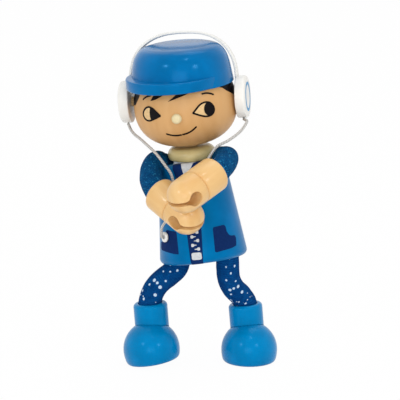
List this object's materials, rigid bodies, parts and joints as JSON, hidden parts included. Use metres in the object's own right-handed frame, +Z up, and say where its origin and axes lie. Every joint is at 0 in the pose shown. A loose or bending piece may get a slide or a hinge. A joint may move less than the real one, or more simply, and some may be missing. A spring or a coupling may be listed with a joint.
{
  "type": "bendable wooden doll",
  "caption": "Small bendable doll: turned wooden body, head, clip hands and dome feet on fabric-covered wire limbs, with a cap and a corded headset.",
  "frame": {"origin": "on the surface that it stands on, under the middle of the doll's box without its cords", "axes": "+Z up; the doll faces -Y and its own left side is at +X"},
  "size_m": [0.048, 0.0518, 0.1013],
  "materials": {
    "body_paint": "glossy paint with a printed jacket",
    "bare_wood": "clear satin",
    "face_wood": "clear satin with a printed face",
    "cap_paint": "glossy paint",
    "white_plastic": "satin",
    "pale_paint": "satin paint",
    "arm_fabric": "matt knit with pale dots",
    "leg_fabric": "matt knit with pale dots",
    "foot_paint": "glossy paint",
    "steel_wire": "plain",
    "cord": "twisted string"
  },
  "bodies": {
    "torso": {"torso": "body_paint", "neck_dowel": "bare_wood", "neck_collar": "pale_paint", "cord_eyelet": "white_plastic", "cord_right": "cord", "cord_left": "cord"},
    "head": {"head": "face_wood", "nose_peg": "pale_paint", "cap": "cap_paint", "headband": "white_plastic", "ear_cup_left": "white_plastic", "ear_cup_right": "white_plastic", "ear_peg_left": "bare_wood", "ear_peg_right": "bare_wood"},
    "left_arm": {"left_arm_sleeve": "arm_fabric", "left_arm_wire": "steel_wire"},
    "left_hand": {"left_hand": "bare_wood"},
    "right_arm": {"right_arm_sleeve": "arm_fabric", "right_arm_wire": "steel_wire"},
    "right_hand": {"right_hand": "bare_wood"},
    "left_leg": {"left_leg_sleeve": "leg_fabric", "left_leg_wire": "steel_wire"},
    "left_foot": {"left_foot_ball": "foot_paint", "left_foot_cuff": "foot_paint"},
    "right_leg": {"right_leg_sleeve": "leg_fabric", "right_leg_wire": "steel_wire"},
    "right_foot": {"right_foot_ball": "foot_paint", "right_foot_cuff": "foot_paint"}
  },
  "joints": [
    {"name": "neck_turn", "type": "hinge", "parent": "torso", "child": "head", "pos_m": [-0.002, 0.01129, 0.06342], "axis": [-0.1117, -0.0545, 0.9922], "range_deg": [-40, 40], "deforming": ["cord_right", "cord_left"]},
    {"name": "left_shoulder", "type": "hinge", "parent": "torso", "child": "left_arm", "pos_m": [0.00632, 0.01367, 0.06304], "axis": [0, 0, 1], "range_deg": [0, 70], "deforming": ["left_arm_sleeve", "left_arm_wire"]},
    {"name": "left_wrist", "type": "hinge", "parent": "left_arm", "child": "left_hand", "pos_m": [0.0087, -0.01264, 0.06255], "axis": [0, 0, 1], "range_deg": [0, 40], "deforming": ["left_arm_sleeve", "left_arm_wire"]},
    {"name": "right_shoulder", "type": "hinge", "parent": "torso", "child": "right_arm", "pos_m": [-0.01069, 0.01344, 0.06051], "axis": [0.3238, 0.6665, -0.6715], "range_deg": [0, 40], "deforming": ["right_arm_sleeve", "right_arm_wire"]},
    {"name": "right_wrist", "type": "hinge", "parent": "right_arm", "child": "right_hand", "pos_m": [-0.00754, -0.0072, 0.05484], "axis": [0.53, 0.848, 0], "range_deg": [0, 30], "deforming": ["right_arm_sleeve", "right_arm_wire"]},
    {"name": "left_hip", "type": "hinge", "parent": "torso", "child": "left_leg", "pos_m": [0.00936, 0.00879, 0.03489], "axis": [-1, 0, 0], "range_deg": [-25, 80], "deforming": ["left_leg_sleeve", "left_leg_wire"]},
    {"name": "left_ankle", "type": "hinge", "parent": "left_leg", "child": "left_foot", "pos_m": [0.01388, 0.0157, 0.01555], "axis": [-1, 0, 0], "range_deg": [-25, 25], "deforming": ["left_leg_sleeve", "left_leg_wire"]},
    {"name": "right_hip", "type": "hinge", "parent": "torso", "child": "right_leg", "pos_m": [-0.00528, 0.0086, 0.03271], "axis": [-1, 0, 0], "range_deg": [-25, 80], "deforming": ["right_leg_sleeve", "right_leg_wire"]},
    {"name": "right_ankle", "type": "hinge", "parent": "right_leg", "child": "right_foot", "pos_m": [-0.01392, 0.006, 0.0169], "axis": [-1, 0, 0], "range_deg": [-25, 25], "deforming": ["right_leg_sleeve", "right_leg_wire"]}
  ]
}
